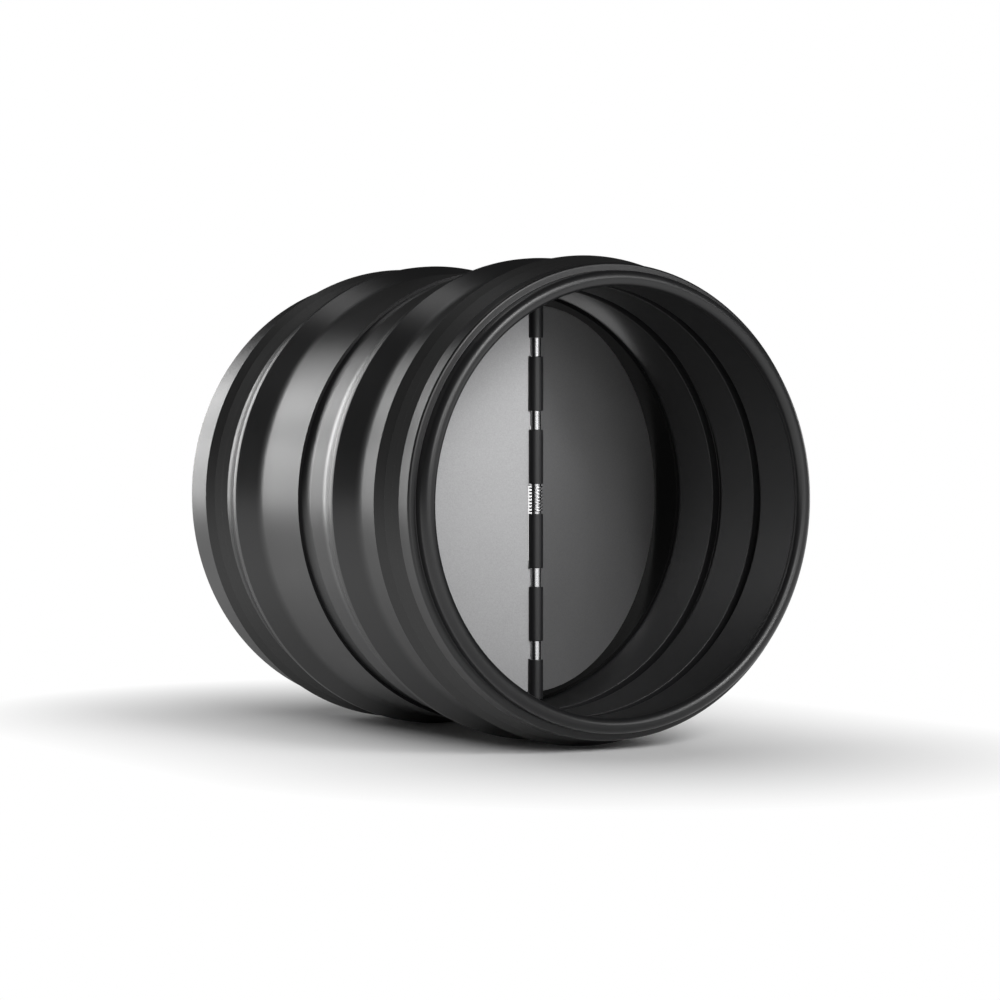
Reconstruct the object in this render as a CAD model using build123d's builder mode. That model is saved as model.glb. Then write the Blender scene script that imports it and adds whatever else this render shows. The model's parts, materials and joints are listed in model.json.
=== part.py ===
from build123d import *

import os
from math import acos, atan, atan2, cos, degrees, hypot, pi, radians, sin

# Duct backdraft damper for 150 mm round duct, in millimetres.
#
# The duct axis lies along Y. Air comes in at -Y and leaves at +Y, +Z is up and the origin is the
# middle of the casing on the duct axis. Two half-round blades hang on one upright rod. At rest the
# spring holds them spread across the bore, and a stream of air folds them back towards +Y.
# Stations along the duct are distances from the inlet end face.

os.makedirs("parts", exist_ok=True)

# Casing
body_length = 162.6
bore_radius = 69.5
wall_thickness = 5.9

# Rounded rim at each mouth
rim_bead_radius = 2.5
rim_bead_lead = 0.9
shoulder_station = 5.2
shoulder_round = 0.8

# Raised crests that stop the duct as it is pushed on
inlet_crest_station = 47.9
outlet_crest_station = 116.0
crest_height = 3.3
crest_top_width = 1.8
crest_near_run = 11.4
crest_far_run = 8.8
crest_foot_blend = 14.0
crest_edge_round = 0.35

# Shallow band between the crests, with a hollow floor
waist_start = 68.7
waist_width = 9.0
waist_side_depth = 1.0
waist_depth = 1.6

# Relief grooves in the bore, one behind each crest and one behind each seal
relief_depth = 2.9
crest_relief_lead = 0.8
crest_relief_width = 5.2
seal_relief_offset = 2.65
seal_relief_width = 4.2

# Rubber lip seals
inlet_lip_station = 21.85
outlet_lip_station = 139.75
seal_seat_depth = 1.4
seal_near_run = 10.55
seal_far_run = 1.05
lip_height = 3.1
lip_thickness = 0.75
lip_root_run = 4.4
rib_step = 0.2
rib_runs = (2.8, 6.2)

# Soft liner that the blades close against
liner_start = 72.8
liner_width = 22.7
liner_thickness = 0.9

# Hinge rod, with a plug over each end
rod_station = 53.8
rod_radius = 1.7
plug_radius = 2.5
plug_length = 1.7
plug_seat_depth = 1.1

# Blades
blade_thickness = 0.7
closed_tilt = 25.5
blade_edge_gap = 0.4
blade_top_gap = 5.1
knuckle_radius = 2.4
knuckle_clearance = 0.05
knuckle_length = 17.85
knuckle_spacing = 6.1
knuckle_end_gap = 3.7
knuckle_notch_gap = 0.15
rod_notch_gap = 0.15
ear_width = 4.0

# Closing spring, whose two legs lean on the backs of the blades
spring_wire_radius = 0.25
spring_rod_gap = 0.1
spring_space = 9.8
spring_end_gap = 0.35
spring_turns = 8
spring_leg_reach = 14.0

# Places worked out from the sizes above
half_length = body_length / 2
spigot_radius = bore_radius + wall_thickness
rim_bead_place = bore_radius + rim_bead_lead
seat_radius = spigot_radius - seal_seat_depth
liner_radius = bore_radius - liner_thickness
rod_y = rod_station - half_length
plug_seat_radius = spigot_radius - plug_seat_depth
blade_reach = (liner_radius - blade_edge_gap) / cos(radians(closed_tilt))
blade_half_height = liner_radius - blade_top_gap
knuckle_bore = rod_radius + knuckle_clearance

# Knuckles from the outermost to the innermost, each between two distances from the middle. The
# outermost ends short of the bore and the innermost leaves room for the spring
inner_start = spring_space / 2
second_start = inner_start + knuckle_length + knuckle_spacing
outer_start = second_start + knuckle_length + knuckle_spacing
knuckle_bands = (
    (outer_start, bore_radius - knuckle_end_gap),
    (second_start, second_start + knuckle_length),
    (inner_start, inner_start + knuckle_length),
)


def along(station):
    """Y of a distance from the inlet end face."""
    return station - half_length


def band(start, width, low_radius, high_radius, mode=Mode.ADD):
    """Rectangle in the half section, from a station and between two radii."""
    middle = along(start + width / 2)
    with Locations((middle, (low_radius + high_radius) / 2)):
        Rectangle(width, high_radius - low_radius, mode=mode)


def crest(edge_station):
    """Half section of one raised crest, whose long flank faces the inlet."""
    edge = along(edge_station)
    top = spigot_radius + crest_height
    near_foot = edge - crest_near_run
    far_edge = edge + crest_top_width
    far_foot = far_edge + crest_far_run
    run_out = crest_foot_blend / 4
    root = spigot_radius - wall_thickness / 4
    with BuildLine() as outline:
        surface = FilletPolyline(
            (near_foot - run_out, spigot_radius),
            (near_foot, spigot_radius),
            (edge, top),
            (far_edge, top),
            (far_foot, spigot_radius),
            (far_foot + run_out, spigot_radius),
            radius=[crest_foot_blend, crest_edge_round, crest_edge_round, crest_foot_blend],
        )
        Polyline(surface @ 1, (far_foot + run_out, root), (near_foot - run_out, root), surface @ 0)
    make_face(outline.edges())


def waist():
    """Half section of the shallow band, taken out of the wall between the crests."""
    start = along(waist_start)
    end = start + waist_width
    side = spigot_radius - waist_side_depth
    clear = spigot_radius + waist_depth
    with BuildLine() as outline:
        floor_middle = ((start + end) / 2, spigot_radius - waist_depth)
        floor = ThreePointArc((start, side), floor_middle, (end, side))
        Polyline(floor @ 1, (end, clear), (start, clear), floor @ 0)
    make_face(outline.edges(), mode=Mode.SUBTRACT)


def seal_section(lip_station):
    """Half section of a seal: a base in its seat and one lip that flares up to its tip.

    Behind the lip the base is low enough for the lip to fold down flush with the casing.
    """
    tip = along(lip_station)
    near_end = tip - seal_near_run
    far_end = tip + seal_far_run
    tip_radius = spigot_radius + lip_height
    base_radius = spigot_radius - lip_thickness
    rise = lip_height / seal_near_run
    outline = [(near_end, seat_radius), (near_end, spigot_radius)]
    for count, run in enumerate(rib_runs):
        height = spigot_radius + rise * run - rib_step * count
        outline.append((near_end + run, height))
        outline.append((near_end + run, height - rib_step))
    outline.append((tip, tip_radius))
    outline.append((tip, tip_radius - lip_thickness))
    outline.append((near_end + lip_root_run, base_radius))
    outline.append((far_end, base_radius))
    outline.append((far_end, seat_radius))
    with BuildLine() as edge_line:
        Polyline(*outline, close=True)
    make_face(edge_line.edges())


# Casing: one revolved wall with rounded rims, two crests, seal seats and bore grooves
with BuildPart() as casing:
    with BuildSketch(Plane.YZ) as casing_section:
        band(shoulder_station, body_length - 2 * shoulder_station, bore_radius, spigot_radius)
        fillet(casing_section.vertices().group_by(Axis.Y)[-1], radius=shoulder_round)
        for end in (-1, 1):
            with Locations((end * (half_length - rim_bead_radius), rim_bead_place)):
                Circle(rim_bead_radius)
        for start in (rim_bead_radius, body_length - rim_bead_radius - shoulder_station):
            band(start, shoulder_station, bore_radius, rim_bead_place + rim_bead_radius)
        for edge_station in (inlet_crest_station, outlet_crest_station):
            crest(edge_station)
        waist()
        for edge_station in (inlet_crest_station, outlet_crest_station):
            relief_start = edge_station - crest_relief_lead
            relief_floor = bore_radius + relief_depth
            relief_mouth = bore_radius - relief_depth
            band(relief_start, crest_relief_width, relief_mouth, relief_floor, Mode.SUBTRACT)
        for lip_station in (inlet_lip_station, outlet_lip_station):
            relief_start = lip_station + seal_relief_offset
            band(relief_start, seal_relief_width, relief_mouth, relief_floor, Mode.SUBTRACT)
            seat_start = lip_station - seal_near_run
            seat_width = seal_near_run + seal_far_run
            band(seat_start, seat_width, seat_radius, spigot_radius + lip_height, Mode.SUBTRACT)
    revolve(axis=Axis.Y)
    # Drilled through for the rod, with a wider seat for the plug at each end
    with BuildSketch(Plane.XY):
        with Locations((0, rod_y)):
            Circle(rod_radius)
    extrude(amount=spigot_radius + crest_height, both=True, mode=Mode.SUBTRACT)
    for side in (-1, 1):
        with BuildSketch(Plane.XY.offset(side * plug_seat_radius)):
            with Locations((0, rod_y)):
                Circle(plug_radius)
        extrude(amount=side * (crest_height + plug_radius), mode=Mode.SUBTRACT)
casing.part.label = "casing"

# Seals: one soft lip ring in the seat at each end
with BuildPart() as inlet_seal:
    with BuildSketch(Plane.YZ):
        seal_section(inlet_lip_station)
    revolve(axis=Axis.Y)
inlet_seal.part.label = "inlet_seal"

with BuildPart() as outlet_seal:
    with BuildSketch(Plane.YZ):
        seal_section(outlet_lip_station)
    revolve(axis=Axis.Y)
outlet_seal.part.label = "outlet_seal"

# Liner: a thin soft ring on the bore
with BuildPart() as seat_liner:
    with BuildSketch(Plane.YZ):
        band(liner_start, liner_width, liner_radius, bore_radius)
    revolve(axis=Axis.Y)
seat_liner.part.label = "seat_liner"

# Hinge rod: one round bar from plug to plug
with BuildPart() as hinge_rod:
    with BuildSketch(Plane.XY):
        with Locations((0, rod_y)):
            Circle(rod_radius)
    extrude(amount=plug_seat_radius, both=True)
    chamfer(hinge_rod.edges(), length=rod_radius / 5)
hinge_rod.part.label = "hinge_rod"

# Plugs: a small round button over each end of the rod
with BuildPart() as upper_rod_plug:
    with BuildSketch(Plane.XY.offset(plug_seat_radius)):
        with Locations((0, rod_y)):
            Circle(plug_radius)
    extrude(amount=plug_length)
    chamfer(upper_rod_plug.edges().group_by(Axis.Z)[-1], length=plug_length / 5)
upper_rod_plug.part.label = "upper_rod_plug"

with BuildPart() as lower_rod_plug:
    add(upper_rod_plug.part.rotate(Axis.Y, 180))
lower_rod_plug.part.label = "lower_rod_plug"

# Left blade: half an oval sheet, with three knuckles that turn on the rod
tilt = radians(closed_tilt)
blade_plane = Plane(
    origin=(0, rod_y, 0), x_dir=(-cos(tilt), sin(tilt), 0), z_dir=(sin(tilt), cos(tilt), 0)
)
own_bands = []
other_bands = []
for count, (low, high) in enumerate(knuckle_bands):
    side = 1 if count % 2 == 0 else -1
    own_bands.append((side * (low + high) / 2, high - low))
    other_bands.append((-side * (low + high) / 2, high - low))

with BuildPart() as left_blade:
    with BuildSketch(blade_plane) as sheet:
        Ellipse(blade_reach, blade_half_height)
        # Straight hinge edge, which stops just short of the bare rod
        edge_place = rod_radius + rod_notch_gap
        with Locations((edge_place - blade_reach, 0)):
            Rectangle(2 * blade_reach, 3 * blade_half_height, mode=Mode.SUBTRACT)
        # Cut back beside the knuckles of the other blade and beside the spring
        notch_reach = knuckle_radius + knuckle_notch_gap
        for middle, height in [*other_bands, (0, spring_space)]:
            with Locations((0, middle)):
                notch_height = height + 2 * knuckle_notch_gap
                Rectangle(2 * notch_reach, notch_height, mode=Mode.SUBTRACT)
        # Carried in to the rod at its own knuckles
        for middle, height in own_bands:
            with Locations((ear_width / 2, middle)):
                Rectangle(ear_width, height)
    extrude(amount=blade_thickness / 2, both=True)
    with BuildSketch(Plane.XY.offset(own_bands[0][0] - own_bands[0][1] / 2)):
        with Locations((0, rod_y)):
            Circle(knuckle_radius)
    extrude(amount=own_bands[0][1])
    with BuildSketch(Plane.XY.offset(own_bands[1][0] - own_bands[1][1] / 2)):
        with Locations((0, rod_y)):
            Circle(knuckle_radius)
    extrude(amount=own_bands[1][1])
    with BuildSketch(Plane.XY.offset(own_bands[2][0] - own_bands[2][1] / 2)):
        with Locations((0, rod_y)):
            Circle(knuckle_radius)
    extrude(amount=own_bands[2][1])
    with BuildSketch(Plane.XY):
        with Locations((0, rod_y)):
            Circle(knuckle_bore)
    extrude(amount=bore_radius, both=True, mode=Mode.SUBTRACT)
left_blade.part.label = "left_blade"

# Right blade: the same piece turned half a turn about the duct axis
with BuildPart() as right_blade:
    add(left_blade.part.rotate(Axis.Y, 180))
right_blade.part.label = "right_blade"

# Closing spring: a coil round the middle of the rod and two straight legs
coil_radius = rod_radius + spring_rod_gap + spring_wire_radius
coil_height = spring_space - 2 * (spring_end_gap + spring_wire_radius)
leg_offset = blade_thickness / 2 + spring_wire_radius
leg_span = hypot(spring_leg_reach, leg_offset)
leg_start = closed_tilt + degrees(atan2(leg_offset, spring_leg_reach) + acos(coil_radius / leg_span))
coil_turns = spring_turns - 2 * (leg_start - 90) / 360
coil_pitch = coil_height / coil_turns
coil_slope = atan(coil_pitch / (2 * pi * coil_radius))
leg_length = leg_span * sin(acos(coil_radius / leg_span)) / cos(coil_slope)
coil_x = (cos(radians(leg_start)), sin(radians(leg_start)), 0)

with BuildPart() as closing_spring:
    with BuildLine() as wire_line:
        coil = Helix(coil_pitch, coil_height, coil_radius)
        Line(coil @ 0 - leg_length * (coil % 0), coil @ 0)
        Line(coil @ 1, coil @ 1 + leg_length * (coil % 1))
    coil_plane = Plane(origin=(0, rod_y, -coil_height / 2), x_dir=coil_x, z_dir=(0, 0, 1))
    wire_path = wire_line.wires()[0].moved(coil_plane.location)
    with BuildSketch(Plane(origin=wire_path @ 0, z_dir=wire_path % 0)):
        Circle(spring_wire_radius)
    sweep(path=wire_path)
closing_spring.part.label = "closing_spring"

export_step(casing.part, "parts/casing.step")
export_step(inlet_seal.part, "parts/inlet_seal.step")
export_step(outlet_seal.part, "parts/outlet_seal.step")
export_step(seat_liner.part, "parts/seat_liner.step")
export_step(hinge_rod.part, "parts/hinge_rod.step")
export_step(upper_rod_plug.part, "parts/upper_rod_plug.step")
export_step(lower_rod_plug.part, "parts/lower_rod_plug.step")
export_step(left_blade.part, "parts/left_blade.step")
export_step(right_blade.part, "parts/right_blade.step")
export_step(closing_spring.part, "parts/closing_spring.step")
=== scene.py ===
"""Looks of a duct backdraft damper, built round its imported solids."""

import json
import math

import bpy
from mathutils import Matrix, Vector


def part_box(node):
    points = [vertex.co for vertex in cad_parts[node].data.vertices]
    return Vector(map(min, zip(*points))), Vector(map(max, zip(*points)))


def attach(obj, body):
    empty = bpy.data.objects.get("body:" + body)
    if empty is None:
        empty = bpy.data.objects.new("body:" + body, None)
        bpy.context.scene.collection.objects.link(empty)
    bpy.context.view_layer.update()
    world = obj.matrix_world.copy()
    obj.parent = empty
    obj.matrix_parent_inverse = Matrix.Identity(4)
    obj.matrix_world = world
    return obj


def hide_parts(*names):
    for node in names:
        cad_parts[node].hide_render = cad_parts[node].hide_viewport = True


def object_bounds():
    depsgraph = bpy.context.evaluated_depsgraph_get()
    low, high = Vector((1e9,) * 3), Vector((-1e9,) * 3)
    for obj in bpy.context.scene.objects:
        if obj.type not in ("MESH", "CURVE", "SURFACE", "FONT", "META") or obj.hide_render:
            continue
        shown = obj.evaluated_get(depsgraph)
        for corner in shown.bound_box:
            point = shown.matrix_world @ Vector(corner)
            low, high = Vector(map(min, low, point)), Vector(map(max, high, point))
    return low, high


bl_info = {
    "name": "Duct backdraft damper",
    "version": (1, 0, 0),
    "blender": (4, 5, 0),
    "location": "View3D > Sidebar > Damper",
    "description": "Models the moulded casing, seals, blades and spring of a duct damper",
    "category": "Object",
}

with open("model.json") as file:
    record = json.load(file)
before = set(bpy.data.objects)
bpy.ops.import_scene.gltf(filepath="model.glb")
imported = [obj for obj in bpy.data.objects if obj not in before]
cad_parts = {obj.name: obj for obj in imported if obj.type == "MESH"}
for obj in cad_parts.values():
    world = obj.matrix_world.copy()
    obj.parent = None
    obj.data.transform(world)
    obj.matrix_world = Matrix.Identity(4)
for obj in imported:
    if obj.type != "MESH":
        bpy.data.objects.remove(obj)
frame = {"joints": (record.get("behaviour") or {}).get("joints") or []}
CAD_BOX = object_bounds()
MM = 0.001
INLET_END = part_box("casing")[0].y
HINGE = Vector(frame["joints"][0]["pos_m"])

# Steps along the curved parts of a mesh
BEAD_STEPS = 36  # round a rim's bead
WAIST_STEPS = 12  # across the hollow band's floor
OVAL_STEPS = 96  # round half of a blade's oval
COIL_STEPS = 24  # along each turn of the spring

STRAIGHT = math.radians(89.9)  # half angle from which a corner counts as straight
MERGE = 0.001 * MM  # distance at which two vertices are one

# Studio floor, in metres
FLOOR_SIDE = 8.0
FLOOR_GAP = 0.02 * MM  # how far it lies below the damper
FADE_START = 0.02  # from the line on which the damper lies
FADE_WIDTH = 0.13


def size(name, description, default):
    """A length that a user may change, given here in millimetres."""
    return bpy.props.FloatProperty(
        name=name, description=description, default=default * MM, unit="LENGTH", precision=5
    )


def turn(name, description, default):
    """An angle that a user may change, given here in degrees."""
    return bpy.props.FloatProperty(
        name=name, description=description, default=math.radians(default), unit="ROTATION"
    )


def number(name, description, default):
    """A plain number that a user may change."""
    return bpy.props.FloatProperty(name=name, description=description, default=default)


def count(name, description, default):
    """A whole number that a user may change."""
    return bpy.props.IntProperty(name=name, description=description, default=default, min=1)


def colour(name, description, default):
    """A colour that a user may change."""
    return bpy.props.FloatVectorProperty(
        name=name, description=description, default=default, subtype="COLOR", size=3, min=0, max=1
    )


class CasingSizes(bpy.types.PropertyGroup):
    """Sizes of the moulded casing. Places are counted from its inlet end."""

    bore: size("Bore radius", "Inside of the tube", 69.5)
    spigot: size("Spigot radius", "Outside of the plain lands", 75.4)
    rim_bead: size("Rim bead", "Radius of the round section at each mouth", 2.5)
    rim_place: size("Rim place", "Distance of the bead's middle from the duct axis", 70.4)
    shoulder: size("Shoulder", "Place of the step behind the rim", 5.2)
    shoulder_round: size("Shoulder rounding", "Radius on the edge of the land", 0.8)
    inlet_crest: size("Inlet crest", "Place of the inlet crest's front edge", 47.9)
    outlet_crest: size("Outlet crest", "Place of the outlet crest's front edge", 116.0)
    crest_height: size("Crest height", "Rise of a crest above the land", 3.3)
    crest_top: size("Crest top", "Width of a crest's flat top", 1.8)
    crest_near: size("Crest near flank", "Run of the flank that faces the inlet", 11.4)
    crest_far: size("Crest far flank", "Run of the flank that faces the outlet", 8.8)
    crest_blend: size("Crest blend", "Radius of the hollow at a flank's foot", 14.0)
    crest_edge: size("Crest edge", "Radius on the edges of a crest's top", 0.35)
    waist: size("Waist", "Place where the hollow band starts", 68.7)
    waist_width: size("Waist width", "Width of the hollow band", 9.0)
    waist_side: size("Waist side", "Depth of the hollow band at its sides", 1.0)
    waist_depth: size("Waist depth", "Depth of the hollow band at its middle", 1.6)
    seat_depth: size("Seal seat depth", "Depth of the groove that holds a seal", 1.4)
    relief_depth: size("Relief depth", "Depth of the grooves in the bore", 2.9)
    crest_relief_lead: size("Crest relief lead", "How far a groove starts before its crest", 0.8)
    crest_relief: size("Crest relief width", "Width of the groove behind a crest", 5.2)
    seal_relief_offset: size("Seal relief offset", "From a seal's lip to its groove", 2.65)
    seal_relief: size("Seal relief width", "Width of the groove behind a seal", 4.2)
    edge: size("Edge rounding", "Radius on the other edges of the moulding", 0.2)
    facets: count("Facets", "Steps of a turned surface round the duct axis", 240)


class SealSizes(bpy.types.PropertyGroup):
    """Sizes of the lip seals and the liner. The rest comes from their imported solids."""

    far_run: size("Far run", "From the lip's tip to the end of the base", 1.05)
    lip: size("Lip thickness", "Thickness of the lip at its tip", 0.75)
    lip_root: size("Lip root", "Run of the part that is thick down to the base", 4.4)
    rib_step: size("Rib step", "Height of the small steps on the flank", 0.2)
    first_rib: size("First rib", "Run of the first step", 2.8)
    second_rib: size("Second rib", "Run of the second step", 6.2)
    tip_round: size("Tip rounding", "Radius on the edges of the lip", 0.2)
    liner: size("Liner thickness", "Thickness of the ring on the bore", 0.9)
    liner_edge: size("Liner edge", "Radius on the liner's inner edges", 0.25)


class HingeSizes(bpy.types.PropertyGroup):
    """Sizes of the rod, the blades that turn on it and their spring."""

    rod: size("Rod radius", "Radius of the hinge rod", 1.7)
    rod_end: size("Rod end rounding", "Radius on the ends of the rod", 0.3)
    plug: size("Plug radius", "Radius of the plug over a rod end", 2.5)
    plug_seat: size("Plug seat", "Distance of the plug's seat from the duct axis", 74.3)
    plug_length: size("Plug length", "Height of the plug", 1.7)
    plug_edge: size("Plug edge", "Radius on the plug's outer edge", 0.5)
    tilt: turn("Closed tilt", "How far a closed blade leans back from square", 25.5)
    reach: size("Blade reach", "From the rod to a blade's tip, along the blade", 75.56)
    half_height: size("Blade half height", "Half of the oval's height", 63.5)
    thickness: size("Blade thickness", "Thickness of the sheet", 0.7)
    sheet_edge: size("Sheet edge", "Width of the bevel on the sheet's edges", 0.12)
    knuckle: size("Knuckle radius", "Outside of the knuckles", 2.4)
    knuckle_bore: size("Knuckle bore", "Radius of the hole through the knuckles", 1.75)
    knuckle_edge: size("Knuckle edge", "Radius on the ends of the knuckles", 0.25)
    outer_low: size("Outer knuckle start", "Nearest point to the middle", 52.8)
    outer_high: size("Outer knuckle end", "Furthest point from the middle", 65.8)
    second_low: size("Second knuckle start", "Nearest point to the middle", 28.85)
    second_high: size("Second knuckle end", "Furthest point from the middle", 46.7)
    inner_low: size("Inner knuckle start", "Nearest point to the middle", 4.9)
    inner_high: size("Inner knuckle end", "Furthest point from the middle", 22.75)
    notch_gap: size("Notch gap", "Clearance round the other blade's knuckles", 0.15)
    rod_gap: size("Rod gap", "Clearance between the sheet and the bare rod", 0.15)
    ear: size("Ear width", "Width of the strip that joins a knuckle to the sheet", 4.0)
    wire: size("Wire radius", "Radius of the spring's wire", 0.25)
    wire_gap: size("Wire gap", "Clearance between the coil and the rod", 0.1)
    end_gap: size("Coil end gap", "Clearance between the coil and the inner knuckles", 0.35)
    turns: count("Spring turns", "Turns of the coil, before the legs leave it", 8)
    leg: size("Leg reach", "How far a spring leg reaches along its blade", 14.0)


class FinishColours(bpy.types.PropertyGroup):
    """Colours of the finishes."""

    moulding: colour("Moulding", "Gloss black of the casing", (0.010, 0.010, 0.0105))
    rubber: colour("Rubber", "Black of the lip seals", (0.012, 0.012, 0.012))
    # The liner's very dull black is painted shade for the bore behind the bead.
    liner: colour("Liner", "Dull black of the ring on the bore", (0.006, 0.006, 0.006))
    steel: colour("Steel", "Bright steel of the rod and the spring", (0.72, 0.72, 0.73))
    plug: colour("Plug", "Satin black of the rod plugs", (0.014, 0.014, 0.015))
    # The blades' light grey is painted sheen: the lamps' reflection on a dark satin coat like the
    # knuckles'.
    blade: colour("Blade", "Satin grey coat of the blades", (0.38, 0.38, 0.385))
    knuckle: colour("Knuckle", "Satin black of the knuckles", (0.016, 0.016, 0.017))
    floor: colour("Floor", "White of the studio floor", (0.9, 0.9, 0.9))


class StudioSettings(bpy.types.PropertyGroup):
    """Camera, lights and floor."""

    camera_right: number("Camera X", "Place of the camera, in metres", -0.54987)
    camera_back: number("Camera Y", "Place of the camera, in metres", -0.91837)
    camera_up: number("Camera Z", "Place of the camera, in metres", 0.02684)
    azimuth: turn("Azimuth", "Turn of the camera from the duct axis", 31.04)
    pitch: turn("Pitch", "How far the camera looks down", 1.49)
    lens: number("Lens", "Focal length in millimetres, on a 36 mm frame", 114.84)
    room: number("Room light", "Brightness of the dim room round the studio", 0.02)
    panel: number("Panel size", "Side of each square lamp panel, in metres", 0.3)
    distance: number("Panel distance", "From the object to each lamp panel, in metres", 1.2)


class Link:
    """An output of a shader node. Arithmetic on it adds Math nodes."""

    def __init__(self, nodes, socket):
        self.nodes = nodes
        self.socket = socket

    def math(self, operation, first, second):
        return self.nodes.add("ShaderNodeMath", {"operation": operation}, {0: first, 1: second})

    def __add__(self, other):
        return self.math("ADD", self, other)

    def __radd__(self, other):
        return self.math("ADD", other, self)

    def __sub__(self, other):
        return self.math("SUBTRACT", self, other)

    def __rsub__(self, other):
        return self.math("SUBTRACT", other, self)

    def __mul__(self, other):
        return self.math("MULTIPLY", self, other)

    def __rmul__(self, other):
        return self.math("MULTIPLY", other, self)

    def __truediv__(self, other):
        return self.math("DIVIDE", self, other)

    def __pow__(self, other):
        return self.math("POWER", self, other)

    def at_least(self, other):
        return self.math("MAXIMUM", self, other)

    def at_most(self, other):
        return self.math("MINIMUM", self, other)


class Nodes:
    """The node tree of one material or of the world."""

    def __init__(self, owner):
        owner.use_nodes = True
        self.tree = owner.node_tree
        self.tree.nodes.clear()

    def add(self, kind, settings=None, sockets=None, output=0):
        """Adds a node, sets it up, fills its sockets with values or links and gives an output."""
        node = self.tree.nodes.new(kind)
        for name, value in (settings or {}).items():
            setattr(node, name, value)
        for name, value in (sockets or {}).items():
            if isinstance(value, Link):
                self.tree.links.new(value.socket, node.inputs[name])
            else:
                node.inputs[name].default_value = value
        return Link(self, node.outputs[output])

    def math(self, operation, first):
        """A Math node on one value."""
        return self.add("ShaderNodeMath", {"operation": operation}, {0: first})

    def place(self):
        """Object coordinates."""
        return self.add("ShaderNodeTexCoord", output="Object")

    def stretched(self, scale):
        """Object coordinates, scaled along each axis."""
        return self.add("ShaderNodeMapping", None, {"Vector": self.place(), "Scale": scale})

    def noise(self, scale, detail=3.0, where=None):
        """Noise from 0 to 1, with its scale in cells per metre."""
        sockets = {"Vector": where or self.place(), "Scale": scale, "Detail": detail}
        return self.add("ShaderNodeTexNoise", None, sockets)

    def blend(self, share, first, second):
        """A colour between two colours."""
        settings = {"data_type": "RGBA"}
        sockets = {"Factor": share, 6: first, 7: second}
        return self.add("ShaderNodeMix", settings, sockets, output=2)

    def bump(self, height, strength, distance):
        """A normal bent by a height map. Distance is in metres."""
        sockets = {"Height": height, "Strength": strength, "Distance": distance}
        return self.add("ShaderNodeBump", None, sockets)


def add_output(nodes, shader, kind="ShaderNodeOutputMaterial"):
    """Adds an output node, which has no outputs of its own."""
    node = nodes.tree.nodes.new(kind)
    nodes.tree.links.new(shader.socket, node.inputs["Surface"])


def add_surface(nodes, sockets):
    """Adds a Principled shader with these sockets, and the output that it feeds."""
    add_output(nodes, nodes.add("ShaderNodeBsdfPrincipled", None, sockets))


def new_material(name):
    """A new material and its empty node tree."""
    material = bpy.data.materials.new(name)
    return material, Nodes(material)


def opaque(rgb):
    """A colour with an alpha of one."""
    return (rgb[0], rgb[1], rgb[2], 1.0)


def shade(rgb, share):
    """A colour made darker or lighter."""
    return (rgb[0] * share, rgb[1] * share, rgb[2] * share, 1.0)


def gloss_moulding():
    """Gloss black plastic, with the faint flow and pitting of a moulding."""
    rgb = bpy.context.scene.damper_finish.moulding
    material, nodes = new_material("gloss_moulding")
    flow = nodes.noise(scale=60.0, detail=2.0)
    pits = nodes.noise(scale=2600.0, detail=2.0)
    base = nodes.blend(flow, shade(rgb, 0.85), shade(rgb, 1.2))
    sockets = {
        "Base Color": base,
        "Roughness": 0.3 + 0.06 * flow,
        "IOR": 1.5,
        "Normal": nodes.bump(pits, strength=0.035, distance=0.00006),
    }
    add_surface(nodes, sockets)
    return material


def seal_rubber():
    """Dull black rubber with a fine matt skin."""
    rgb = bpy.context.scene.damper_finish.rubber
    material, nodes = new_material("seal_rubber")
    skin = nodes.noise(scale=1800.0, detail=3.0)
    bloom = nodes.noise(scale=45.0, detail=2.0)
    sockets = {
        "Base Color": nodes.blend(bloom, shade(rgb, 0.8), shade(rgb, 1.35)),
        "Roughness": 0.42 + 0.12 * skin,
        "IOR": 1.5,
        "Normal": nodes.bump(skin, strength=0.12, distance=0.00008),
    }
    add_surface(nodes, sockets)
    return material


def liner_painted_shade():
    """Flat black soft lining with an open grain. Its very dull black is painted shade for the bore
    behind the bead.
    """
    rgb = bpy.context.scene.damper_finish.liner
    material, nodes = new_material("liner_painted_shade")
    grain = nodes.noise(scale=1300.0, detail=4.0)
    sockets = {
        "Base Color": nodes.blend(grain, shade(rgb, 0.6), shade(rgb, 1.4)),
        "Roughness": 0.62 + 0.2 * grain,
        "Specular IOR Level": 0.04,
        "Normal": nodes.bump(grain, strength=0.25, distance=0.00012),
    }
    add_surface(nodes, sockets)
    return material


def drawn_steel():
    """Bright steel with fine drawing lines along its length."""
    rgb = bpy.context.scene.damper_finish.steel
    material, nodes = new_material("drawn_steel")
    lines = nodes.noise(scale=1.0, detail=3.0, where=nodes.stretched((2600.0, 2600.0, 60.0)))
    sockets = {
        "Base Color": nodes.blend(lines, shade(rgb, 0.82), opaque(rgb)),
        "Metallic": 1.0,
        "Roughness": 0.16 + 0.12 * lines,
        "Normal": nodes.bump(lines, strength=0.08, distance=0.00003),
    }
    add_surface(nodes, sockets)
    return material


def satin_black(name, rgb, roughness):
    """Satin black with a fine grain, for the plugs and the knuckles."""
    material, nodes = new_material(name)
    grain = nodes.noise(scale=2200.0, detail=3.0)
    sockets = {
        "Base Color": nodes.blend(grain, shade(rgb, 0.75), shade(rgb, 1.25)),
        "Roughness": roughness + 0.08 * grain,
        "IOR": 1.5,
        "Normal": nodes.bump(grain, strength=0.08, distance=0.00005),
    }
    add_surface(nodes, sockets)
    return material


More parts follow.
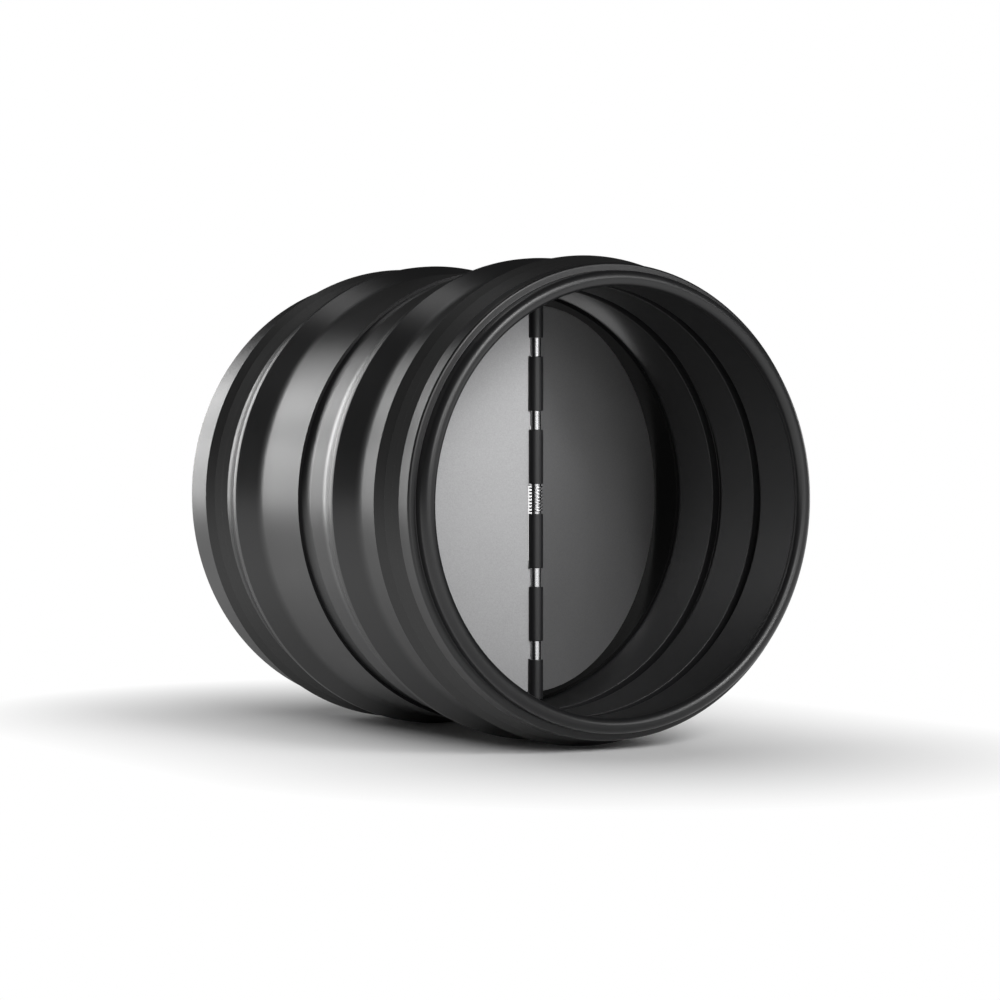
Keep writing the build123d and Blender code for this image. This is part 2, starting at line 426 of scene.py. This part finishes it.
def blade_sheen_coat():
    """Satin coat with the fine sparkle of powder paint. Its light grey is painted sheen: the lamps'
    reflection on a dark satin coat like the knuckles'.
    """
    rgb = bpy.context.scene.damper_finish.blade
    material, nodes = new_material("blade_sheen_coat")
    grain = nodes.noise(scale=2400.0, detail=3.0)
    cloud = nodes.noise(scale=30.0, detail=2.0)
    tone = (0.75 * grain + 0.25 * cloud).at_least(0.0)
    sockets = {
        "Base Color": nodes.blend(tone, shade(rgb, 0.72), shade(rgb, 1.3)),
        "Metallic": 0.8,
        "Roughness": 0.4 + 0.1 * grain,
        "IOR": 1.5,
        "Normal": nodes.bump(grain, strength=0.22, distance=0.00006),
    }
    add_surface(nodes, sockets)
    return material


def studio_floor():
    """White floor that fades out into the white background."""
    rgb = bpy.context.scene.damper_finish.floor
    material, nodes = new_material("studio_floor")
    place = nodes.place()
    across = nodes.add("ShaderNodeSeparateXYZ", None, {0: place}, output="X")
    along = nodes.add("ShaderNodeSeparateXYZ", None, {0: place}, output="Y")
    outlet_end = CAD_BOX[1][1]
    beyond = (nodes.math("ABSOLUTE", along) - outlet_end).at_least(0.0)
    reach = (across * across + beyond * beyond) ** 0.5
    far = ((reach - FADE_START) / FADE_WIDTH).at_least(0.0).at_most(1.0)
    white = nodes.add("ShaderNodeEmission", None, {"Color": (1, 1, 1, 1), "Strength": 1.0})
    paint = nodes.add("ShaderNodeBsdfDiffuse", None, {"Color": opaque(rgb)})
    mixed = nodes.add("ShaderNodeMixShader", None, {0: far, 1: paint, 2: white})
    add_output(nodes, mixed)
    return material


def leave_edit():
    """Back to object mode, with nothing selected."""
    if bpy.context.object and bpy.context.object.mode != "OBJECT":
        bpy.ops.object.mode_set(mode="OBJECT")
    bpy.ops.object.select_all(action="DESELECT")


def at(place, radius):
    """A point of the half section: a place along the duct and a distance from its axis."""
    return Vector((0.0, INLET_END + place, radius))


def arc(middle, radius, start, end, steps):
    """Points of an arc in the half section. Angles are in degrees from the outlet side."""
    points = []
    for step in range(steps + 1):
        angle = math.radians(start + (end - start) * step / steps)
        points.append((middle[0] + radius * math.cos(angle), middle[1] + radius * math.sin(angle)))
    return points


def rounded(corners, turn_step=15.0, longest=0.8 * MM):
    """Points of a line through corners (along, out, radius), with the corners rounded off."""
    points = [Vector(corners[0][:2])]
    for before, corner, after in zip(corners, corners[1:], corners[2:]):
        place = Vector(corner[:2])
        back = (Vector(before[:2]) - place).normalized()
        ahead = (Vector(after[:2]) - place).normalized()
        half = math.acos(max(-1.0, min(1.0, back.dot(ahead)))) / 2
        if corner[2] <= 0 or half > STRAIGHT:
            points.append(place)
            continue
        first = place + back * corner[2] / math.tan(half)
        middle = place + (back + ahead).normalized() * corner[2] / math.sin(half)
        sweep = math.pi - 2 * half
        side = 1 if back.cross(ahead) < 0 else -1
        steps_by_turn = math.ceil(math.degrees(sweep) / turn_step)
        steps_by_length = math.ceil(corner[2] * sweep / longest)
        steps = max(2, steps_by_turn, steps_by_length)
        for step in range(steps + 1):
            spoke = Matrix.Rotation(side * sweep * step / steps, 2) @ (first - middle)
            points.append(middle + spoke)
    points.append(Vector(corners[-1][:2]))
    return points


def supported(points, close=0.15 * MM, long_run=16):
    """The same line with a point close to both ends of each long run, to keep the run flat.

    A run is long when it is over long_run times as long as close."""
    result = [Vector(points[0])]
    for here, there in zip(points, points[1:]):
        run = Vector(there) - Vector(here)
        if run.length > long_run * close:
            step = run.normalized() * close
            result.append(Vector(here) + step)
            result.append(Vector(there) - step)
        result.append(Vector(there))
    return result


def draw_line(name, points):
    """A new piece that is one line, drawn by extruding a vertex from point to point."""
    leave_edit()
    bpy.ops.mesh.primitive_plane_add(size=MM, location=points[0])
    piece = bpy.context.object
    piece.name = name
    piece.data.name = name
    bpy.ops.object.transform_apply(location=True, rotation=True, scale=True)
    bpy.ops.object.mode_set(mode="EDIT")
    bpy.ops.mesh.select_all(action="SELECT")
    bpy.ops.mesh.merge(type="CENTER")
    for here, there in zip(points, points[1:]):
        bpy.ops.mesh.extrude_region_move(TRANSFORM_OT_translate={"value": there - here})
    return piece


def close_up(piece, smooth_angle=31.0):
    """Merges doubles, points the faces outwards, leaves edit mode and shades the piece."""
    bpy.ops.mesh.select_all(action="SELECT")
    bpy.ops.mesh.remove_doubles(threshold=MERGE)
    bpy.ops.mesh.normals_make_consistent(inside=False)
    bpy.ops.object.mode_set(mode="OBJECT")
    bpy.ops.object.shade_smooth_by_angle(angle=math.radians(smooth_angle))
    return piece


def turned(name, points, centre, axis, steps):
    """A round piece: a closed line spun once round an axis."""
    piece = draw_line(name, [*points, points[0]])
    bpy.ops.mesh.select_all(action="SELECT")
    bpy.ops.mesh.spin(steps=steps, angle=2 * math.pi, center=centre, axis=axis)
    return close_up(piece)


def duct_ring(name, points):
    """A piece turned round the duct axis from points (along, out)."""
    steps = bpy.context.scene.damper_casing.facets
    line = [at(place, radius) for place, radius in points]
    return turned(name, line, (0, 0, 0), (0, 1, 0), steps)


def rod_ring(name, points, steps=48):
    """A piece turned round the hinge rod from points (up, out)."""
    line = [HINGE + Vector((radius, 0, height)) for height, radius in points]
    return turned(name, line, HINGE, (0, 0, 1), steps)


def wear(piece, *materials):
    """Gives a piece its materials."""
    piece.data.materials.clear()
    for material in materials:
        piece.data.materials.append(material)


def hand_over(piece, body, node):
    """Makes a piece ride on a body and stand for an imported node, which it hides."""
    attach(piece, body)
    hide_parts(node)


def crest_corners(sizes, edge):
    """Corners of one crest, from its near foot to its far foot."""
    top = sizes.spigot + sizes.crest_height
    far_edge = edge + sizes.crest_top
    return [
        (edge - sizes.crest_near, sizes.spigot, sizes.crest_blend),
        (edge, top, sizes.crest_edge),
        (far_edge, top, sizes.crest_edge),
        (far_edge + sizes.crest_far, sizes.spigot, sizes.crest_blend),
    ]


def seat_corners(sizes, node):
    """Corners of the groove that holds a seal."""
    low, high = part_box(node)
    start = low.y - INLET_END
    end = high.y - INLET_END
    floor = sizes.spigot - sizes.seat_depth
    return [
        (start, sizes.spigot, 0),
        (start, floor, 0),
        (end, floor, 0),
        (end, sizes.spigot, sizes.edge),
    ]


def waist_points(sizes):
    """Points of the hollow band: a short wall, a hollow floor and another short wall."""
    side = sizes.spigot - sizes.waist_side
    sag = sizes.waist_depth - sizes.waist_side
    half = sizes.waist_width / 2
    radius = (half * half + sag * sag) / (2 * sag)
    swing = math.degrees(math.asin(half / radius))
    middle = (sizes.waist + half, side - sag + radius)
    floor = arc(middle, radius, 270 - swing, 270 + swing, WAIST_STEPS)
    start = [(sizes.waist, sizes.spigot)]
    end = [(sizes.waist + sizes.waist_width, sizes.spigot)]
    return start + floor + end


def relief_corners(sizes, start, width):
    """Corners of a groove in the bore, from its outlet side to its inlet side."""
    floor = sizes.bore + sizes.relief_depth
    return [
        (start + width, sizes.bore, sizes.edge),
        (start + width, floor, sizes.edge),
        (start, floor, sizes.edge),
        (start, sizes.bore, sizes.edge),
    ]


def casing_outline(sizes):
    """Points of the casing's closed half section, from the inlet rim round to the inlet rim."""
    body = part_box("casing")[1].y - INLET_END
    bead_top = sizes.rim_place + sizes.rim_bead
    dip = math.degrees(math.asin((sizes.rim_place - sizes.bore) / sizes.rim_bead))
    bead_run = sizes.rim_bead * math.cos(math.radians(dip))
    near_bead = (sizes.rim_bead, sizes.rim_place)
    far_bead = (body - sizes.rim_bead, sizes.rim_place)
    outside = [(near_bead[0], bead_top, 0), (sizes.shoulder, bead_top, sizes.edge)]
    outside.append((sizes.shoulder, sizes.spigot, sizes.shoulder_round))
    outside += seat_corners(sizes, "inlet_seal")
    outside += crest_corners(sizes, sizes.inlet_crest)
    outside.append((sizes.waist, sizes.spigot, 0))
    after_waist = [(sizes.waist + sizes.waist_width, sizes.spigot, 0)]
    after_waist += crest_corners(sizes, sizes.outlet_crest)
    after_waist += seat_corners(sizes, "outlet_seal")
    after_waist.append((body - sizes.shoulder, sizes.spigot, sizes.shoulder_round))
    after_waist.append((body - sizes.shoulder, bead_top, sizes.edge))
    after_waist.append((far_bead[0], bead_top, 0))
    inside = [(far_bead[0] - bead_run, sizes.bore, 0)]
    for node, crest in (("outlet_seal", sizes.outlet_crest), ("inlet_seal", sizes.inlet_crest)):
        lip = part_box(node)[1].y - INLET_END - bpy.context.scene.damper_seal.far_run
        seal_groove = relief_corners(sizes, lip + sizes.seal_relief_offset, sizes.seal_relief)
        crest_groove = relief_corners(sizes, crest - sizes.crest_relief_lead, sizes.crest_relief)
        grooves = sorted((seal_groove, crest_groove), key=lambda groove: -groove[0][0])
        inside += grooves[0] + grooves[1]
    inside.append((near_bead[0] + bead_run, sizes.bore, 0))
    points = arc(near_bead, sizes.rim_bead, -dip, -270, BEAD_STEPS)[:-1]
    points += supported(rounded(outside))[:-1]
    points += [Vector(point) for point in waist_points(sizes)][:-1]
    points += supported(rounded(after_waist))[:-1]
    points += arc(far_bead, sizes.rim_bead, 90, -180 + dip, BEAD_STEPS)[:-1]
    points += supported(rounded(inside))[:-1]
    return points


class DAMPER_OT_casing(bpy.types.Operator):
    """Turns the casing round the duct axis and drills it for the rod"""

    bl_idname = "damper.casing"
    bl_label = "Casing"
    bl_options = {"REGISTER", "UNDO"}

    def execute(self, context):
        sizes = context.scene.damper_casing
        hinge = context.scene.damper_hinge
        piece = duct_ring("casing_shell", casing_outline(sizes))
        reach = sizes.spigot + 2 * sizes.crest_height
        for side in (-1, 1):
            points = [
                (0.0, 0.0),
                (0.0, hinge.rod),
                (side * hinge.plug_seat, hinge.rod),
                (side * hinge.plug_seat, hinge.plug),
                (side * reach, hinge.plug),
                (side * reach, 0.0),
            ]
            drill = rod_ring("drill", points)
            leave_edit()
            piece.select_set(True)
            context.view_layer.objects.active = piece
            cut = piece.modifiers.new("Rod hole", "BOOLEAN")
            cut.operation = "DIFFERENCE"
            cut.solver = "EXACT"
            cut.object = drill
            bpy.ops.object.modifier_apply(modifier=cut.name)
            bpy.data.objects.remove(drill)
        wear(piece, gloss_moulding())
        hand_over(piece, "casing", "casing")
        return {"FINISHED"}


class DAMPER_OT_seals(bpy.types.Operator):
    """Turns the lip seal of each spigot"""

    bl_idname = "damper.seals"
    bl_label = "Seals"
    bl_options = {"REGISTER", "UNDO"}

    def execute(self, context):
        sizes = context.scene.damper_seal
        casing = context.scene.damper_casing
        rubber = seal_rubber()
        for node in ("inlet_seal", "outlet_seal"):
            low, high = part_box(node)
            start = low.y - INLET_END
            end = high.y - INLET_END
            tip = end - sizes.far_run
            base = casing.spigot - casing.seat_depth
            rise = (high.z - casing.spigot) / (tip - start)
            corners = [(start, base, 0), (start, casing.spigot, 0)]
            for index, run in enumerate((sizes.first_rib, sizes.second_rib)):
                height = casing.spigot + rise * run - sizes.rib_step * index
                corners.append((start + run, height, sizes.rib_step / 4))
                corners.append((start + run, height - sizes.rib_step, 0))
            corners += [
                (tip, high.z, sizes.tip_round),
                (tip, high.z - sizes.lip, sizes.tip_round),
                (start + sizes.lip_root, casing.spigot - sizes.lip, sizes.tip_round),
                (end, casing.spigot - sizes.lip, 0),
                (end, base, 0),
            ]
            piece = duct_ring(node + "_ring", supported(rounded(corners)))
            wear(piece, rubber)
            hand_over(piece, "casing", node)
        return {"FINISHED"}


class DAMPER_OT_liner(bpy.types.Operator):
    """Turns the soft ring on the bore"""

    bl_idname = "damper.liner"
    bl_label = "Liner"
    bl_options = {"REGISTER", "UNDO"}

    def execute(self, context):
        sizes = context.scene.damper_seal
        bore = context.scene.damper_casing.bore
        low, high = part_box("seat_liner")
        start = low.y - INLET_END
        end = high.y - INLET_END
        corners = [
            ((start + end) / 2, bore, 0),
            (end, bore, 0),
            (end, bore - sizes.liner, sizes.liner_edge),
            (start, bore - sizes.liner, sizes.liner_edge),
            (start, bore, 0),
            ((start + end) / 2, bore, 0),
        ]
        piece = duct_ring("liner_ring", supported(rounded(corners))[:-1])
        # Dull black liner: painted shade for the bore behind the bead.
        wear(piece, liner_painted_shade())
        hand_over(piece, "casing", "seat_liner")
        return {"FINISHED"}


class DAMPER_OT_rod(bpy.types.Operator):
    """Turns the hinge rod and the plugs over its ends"""

    bl_idname = "damper.rod"
    bl_label = "Rod and plugs"
    bl_options = {"REGISTER", "UNDO"}

    def execute(self, context):
        sizes = context.scene.damper_hinge
        end = sizes.plug_seat
        corners = [
            (-end, 0.0, 0),
            (-end, sizes.rod, sizes.rod_end),
            (end, sizes.rod, sizes.rod_end),
            (end, 0.0, 0),
        ]
        rod = rod_ring("rod_bar", supported(rounded(corners)))
        wear(rod, drawn_steel())
        hand_over(rod, "casing", "hinge_rod")
        plastic = satin_black("plug_plastic", context.scene.damper_finish.plug, roughness=0.34)
        for side, node in ((1, "upper_rod_plug"), (-1, "lower_rod_plug")):
            corners = [
                (side * end, 0.0, 0),
                (side * end, sizes.plug, 0),
                (side * (end + sizes.plug_length), sizes.plug, sizes.plug_edge),
                (side * (end + sizes.plug_length), 0.0, 0),
            ]
            plug = rod_ring(node + "_button", supported(rounded(corners, turn_step=12.0)))
            wear(plug, plastic)
            hand_over(plug, "casing", node)
        return {"FINISHED"}


def blade_bands(sizes):
    """Knuckle bands from top to bottom as (low, high): those of the left blade and the others."""
    pairs = (
        (sizes.outer_low, sizes.outer_high),
        (sizes.second_low, sizes.second_high),
        (sizes.inner_low, sizes.inner_high),
    )
    own = []
    other = []
    for index, (low, high) in enumerate(pairs):
        upper = (low, high)
        lower = (-high, -low)
        own.append(upper if index % 2 == 0 else lower)
        other.append(lower if index % 2 == 0 else upper)
    return own, other


def hinge_edge(sizes):
    """Corners (reach, height) of the stepped hinge edge, from bottom to top."""
    own, other = blade_bands(sizes)
    bare = sizes.rod + sizes.rod_gap
    beside = sizes.knuckle + sizes.notch_gap
    joined = (sizes.knuckle + sizes.knuckle_bore) / 2
    spans = [(low, high, joined) for low, high in own]
    spans += [(low - sizes.notch_gap, high + sizes.notch_gap, beside) for low, high in other[:-1]]
    spans.append((other[-1][0] - sizes.notch_gap, own[-1][0], beside))
    spans.sort()
    corners = []
    height = None
    for low, high, reach in spans:
        if height is not None and low - height > sizes.notch_gap:
            corners.append((bare, height))
            corners.append((bare, low))
        corners.append((reach, low))
        corners.append((reach, high))
        height = high
    return corners


def blade_outline(sizes):
    """Points (reach, height) of the left blade's sheet, in order round it."""
    edge = hinge_edge(sizes)
    lowest = max(edge[0][1], -sizes.half_height)
    foot = edge[0][0]
    start = math.asin(foot / sizes.reach)
    ear_turn = math.asin(sizes.ear / sizes.reach)
    ear_height = sizes.half_height * math.cos(ear_turn)
    top = edge[-1][1]
    points = [(reach, max(height, lowest)) for reach, height in edge]
    points[0] = (foot, -sizes.half_height * math.cos(start))
    points.append((sizes.ear, top))
    points.append((sizes.ear, ear_height))
    for step in range(1, OVAL_STEPS):
        angle = ear_turn + (math.pi - start - ear_turn) * step / OVAL_STEPS
        points.append((sizes.reach * math.sin(angle), sizes.half_height * math.cos(angle)))
    return points


class DAMPER_OT_blades(bpy.types.Operator):
    """Cuts the two blades from sheet and rolls their knuckles round the rod"""

    bl_idname = "damper.blades"
    bl_label = "Blades"
    bl_options = {"REGISTER", "UNDO"}

    def execute(self, context):
        sizes = context.scene.damper_hinge
        along = Vector((-math.cos(sizes.tilt), math.sin(sizes.tilt), 0))
        back = Vector((math.sin(sizes.tilt), math.cos(sizes.tilt), 0))
        front = HINGE - back * sizes.thickness / 2
        line = [
            front + along * reach + Vector((0, 0, height))
            for reach, height in blade_outline(sizes)
        ]
        left = draw_line("left_blade_leaf", line)
        bpy.ops.mesh.select_all(action="SELECT")
        bpy.ops.mesh.edge_face_add()
        move = {"value": back * sizes.thickness}
        bpy.ops.mesh.extrude_region_move(TRANSFORM_OT_translate=move)
        close_up(left, smooth_angle=20.0)
        self.bevel(left, sizes.sheet_edge)
        # Light grey coat: painted sheen of the lamps on the dark satin blades.
        coat = blade_sheen_coat()
        black = satin_black("knuckle_black", context.scene.damper_finish.knuckle, roughness=0.3)
        knuckles = [self.knuckle(sizes, low, high) for low, high in blade_bands(sizes)[0]]
        wear(left, coat, black)
        for knuckle in knuckles:
            wear(knuckle, coat, black)
            for face in knuckle.data.polygons:
                face.material_index = 1
        leave_edit()
        for piece in (left, *knuckles):
            piece.select_set(True)
        context.view_layer.objects.active = left
        bpy.ops.object.join()
        leave_edit()
        left.select_set(True)
        context.view_layer.objects.active = left
        bpy.ops.object.duplicate()
        right = context.object
        right.name = "right_blade_leaf"
        right.data.name = "right_blade_leaf"
        right.rotation_euler = (0, math.pi, 0)
        bpy.ops.object.transform_apply(location=True, rotation=True, scale=True)
        hand_over(left, "left_blade", "left_blade")
        hand_over(right, "right_blade", "right_blade")
        return {"FINISHED"}

    def bevel(self, piece, width):
        """A small bevel on the sheet's edges, made with a modifier and applied."""
        leave_edit()
        piece.select_set(True)
        bpy.context.view_layer.objects.active = piece
        bevel = piece.modifiers.new("Sheet edge", "BEVEL")
        bevel.width = width
        bevel.segments = 2
        bevel.limit_method = "ANGLE"
        bevel.angle_limit = math.radians(40)
        bpy.ops.object.modifier_apply(modifier=bevel.name)

    def knuckle(self, sizes, low, high):
        """One knuckle: a tube round the rod with rounded ends."""
        corners = [
            ((low + high) / 2, sizes.knuckle_bore, 0),
            (low, sizes.knuckle_bore, 0),
            (low, sizes.knuckle, sizes.knuckle_edge),
            (high, sizes.knuckle, sizes.knuckle_edge),
            (high, sizes.knuckle_bore, 0),
            ((low + high) / 2, sizes.knuckle_bore, 0),
        ]
        return rod_ring("knuckle", supported(rounded(corners, turn_step=18.0))[:-1])


class DAMPER_OT_spring(bpy.types.Operator):
    """Winds the spring round the rod and lays its legs on the blades"""

    bl_idname = "damper.spring"
    bl_label = "Spring"
    bl_options = {"REGISTER", "UNDO"}

    def execute(self, context):
        sizes = context.scene.damper_hinge
        radius = sizes.rod + sizes.wire_gap + sizes.wire
        height = 2 * (sizes.inner_low - sizes.end_gap - sizes.wire)
        offset = sizes.thickness / 2 + sizes.wire
        span = math.hypot(sizes.leg, offset)
        start = sizes.tilt + math.atan2(offset, sizes.leg) + math.acos(radius / span)
        sweep = 2 * math.pi * sizes.turns - 2 * (start - math.pi / 2)
        slope = height / sweep
        leg = math.sqrt(span * span - radius * radius) / radius
        steps = COIL_STEPS * sizes.turns
        points = [
            self.on_coil(radius, start, sweep, step / steps, slope)
            for step in range(steps + 1)
        ]
        first = self.tangent(radius, start, slope) * leg
        last = self.tangent(radius, start + sweep, slope) * leg
        line = [points[0] - first, *points, points[-1] + last]
        leave_edit()
        curve = bpy.data.curves.new("spring_wire", "CURVE")
        curve.dimensions = "3D"
        spline = curve.splines.new("POLY")
        spline.points.add(len(line) - 1)
        for point, place in zip(spline.points, line):
            point.co = (place.x, place.y, place.z, 1.0)
        curve.bevel_depth = sizes.wire
        curve.bevel_resolution = 3
        curve.use_fill_caps = True
        wire = bpy.data.objects.new("spring_wire", curve)
        context.collection.objects.link(wire)
        wire.select_set(True)
        context.view_layer.objects.active = wire
        bpy.ops.object.convert(target="MESH")
        piece = context.object
        piece.name = "spring_coil"
        piece.data.name = "spring_coil"
        bpy.ops.object.shade_smooth_by_angle(angle=math.radians(40))
        wear(piece, bpy.data.materials["drawn_steel"])
        hand_over(piece, "casing", "closing_spring")
        return {"FINISHED"}

    def on_coil(self, radius, start, sweep, share, slope):
        """A point of the coil, at a share of its way."""
        angle = start + sweep * share
        height = slope * sweep * (share - 0.5)
        return HINGE + Vector((radius * math.cos(angle), radius * math.sin(angle), height))

    def tangent(self, radius, angle, slope):
        """Way of the wire for each radian of the coil."""
        return Vector((-radius * math.sin(angle), radius * math.cos(angle), slope))


class DAMPER_OT_studio(bpy.types.Operator):
    """Sets up the floor, the lights, the background and the camera"""

    bl_idname = "damper.studio"
    bl_label = "Studio"
    bl_options = {"REGISTER", "UNDO"}

    def execute(self, context):
        settings = context.scene.damper_studio
        leave_edit()
        below = (0, 0, CAD_BOX[0][2] - FLOOR_GAP)
        bpy.ops.mesh.primitive_plane_add(size=FLOOR_SIDE, location=below)
        floor = context.object
        floor.name = "studio_floor"
        bpy.ops.object.transform_apply(location=True, rotation=True, scale=True)
        wear(floor, studio_floor())
        self.camera(settings)
        self.background(settings)
        for name, azimuth, elevation, brightness in LIGHTS:
            self.softbox(settings, name, math.radians(azimuth), math.radians(elevation), brightness)
        context.scene.view_settings.view_transform = "Standard"
        return {"FINISHED"}

    def camera(self, settings):
        """The camera of the main view."""
        data = bpy.data.cameras.new("main_camera")
        data.lens = settings.lens
        data.sensor_width = 36.0
        camera = bpy.data.objects.new("main_camera", data)
        camera.location = (settings.camera_right, settings.camera_back, settings.camera_up)
        camera.rotation_euler = (math.pi / 2 - settings.pitch, 0, -settings.azimuth)
        bpy.context.collection.objects.link(camera)
        bpy.context.scene.camera = camera

    def background(self, settings):
        """White background with a dim room for the light that falls on the object."""
        world = bpy.data.worlds.new("studio")
        bpy.context.scene.world = world
        nodes = Nodes(world)
        rays = nodes.add("ShaderNodeLightPath", output="Is Camera Ray")
        clear = nodes.add("ShaderNodeLightPath", output="Is Transmission Ray")
        white = (rays + clear).at_most(1.0)
        strength = settings.room + (1.0 - settings.room) * white
        sockets = {"Color": (1, 1, 1, 1), "Strength": strength}
        sky = nodes.add("ShaderNodeBackground", None, sockets)
        add_output(nodes, sky, "ShaderNodeOutputWorld")

    def softbox(self, settings, name, azimuth, elevation, brightness):
        """A square lamp panel that faces the object, which the camera doesn't see."""
        data = bpy.data.lights.new(name, "AREA")
        data.shape = "SQUARE"
        data.size = settings.panel
        data.energy = brightness * math.pi * settings.panel**2
        lamp = bpy.data.objects.new(name, data)
        level = math.cos(elevation)
        way = Vector((math.sin(azimuth) * level, -math.cos(azimuth) * level, math.sin(elevation)))
        lamp.location = way * settings.distance
        lamp.rotation_euler = way.to_track_quat("Z", "Y").to_euler()
        lamp.visible_camera = False
        bpy.context.collection.objects.link(lamp)


# Lamp panels: name, azimuth and elevation in degrees as seen from the object, then brightness.
# Azimuth counts from the inlet side towards +X
LIGHTS = (
    ("front_high_panel", 5.0, 34.0, 13.4),
    ("front_middle_panel", 5.0, 19.0, 8.8),
    ("front_low_panel", 5.0, 4.0, 1.8),
    ("front_left_panel", -21.0, 19.0, 9.2),
    ("front_left_low_panel", -21.0, 4.0, 1.3),
    ("front_right_high_panel", 18.0, 34.0, 4.8),
    ("front_right_panel", 31.0, 19.0, 5.0),
    ("right_panel", 96.0, 4.0, 4.2),
    ("back_low_panel", 198.0, 3.0, 7.5),
    ("back_middle_panel", 198.0, 15.0, 6.8),
    ("back_high_panel", 198.0, 28.0, 2.7),
    ("back_inner_panel", 186.0, 15.0, 4.8),
    ("back_outer_panel", 210.0, 5.0, 2.8),
    ("back_top_panel", 185.0, 55.0, 1.6),
)


class DAMPER_PT_panel(bpy.types.Panel):
    """The damper's pieces in the sidebar"""

    bl_idname = "DAMPER_PT_panel"
    bl_label = "Duct damper"
    bl_space_type = "VIEW_3D"
    bl_region_type = "UI"
    bl_category = "Damper"

    def draw(self, context):
        for operator in OPERATORS:
            self.layout.operator(operator.bl_idname)


GROUPS = {
    "damper_casing": CasingSizes,
    "damper_seal": SealSizes,
    "damper_hinge": HingeSizes,
    "damper_finish": FinishColours,
    "damper_studio": StudioSettings,
}
OPERATORS = (
    DAMPER_OT_casing,
    DAMPER_OT_seals,
    DAMPER_OT_liner,
    DAMPER_OT_rod,
    DAMPER_OT_blades,
    DAMPER_OT_spring,
    DAMPER_OT_studio,
)


def register():
    """Registers the classes and gives the scene their settings."""
    for group in GROUPS.values():
        bpy.utils.register_class(group)
    for name, group in GROUPS.items():
        setattr(bpy.types.Scene, name, bpy.props.PointerProperty(type=group))
    for operator in OPERATORS:
        bpy.utils.register_class(operator)
    bpy.utils.register_class(DAMPER_PT_panel)


def unregister():
    """Undoes what register did."""
    bpy.utils.unregister_class(DAMPER_PT_panel)
    for operator in reversed(OPERATORS):
        bpy.utils.unregister_class(operator)
    for name in GROUPS:
        delattr(bpy.types.Scene, name)
    for group in reversed(list(GROUPS.values())):
        bpy.utils.unregister_class(group)


def main():
    """Models the pieces and sets up the studio."""
    register()
    bpy.ops.damper.casing()
    bpy.ops.damper.seals()
    bpy.ops.damper.liner()
    bpy.ops.damper.rod()
    bpy.ops.damper.blades()
    bpy.ops.damper.spring()
    bpy.ops.damper.studio()


if __name__ == "__main__":
    main()
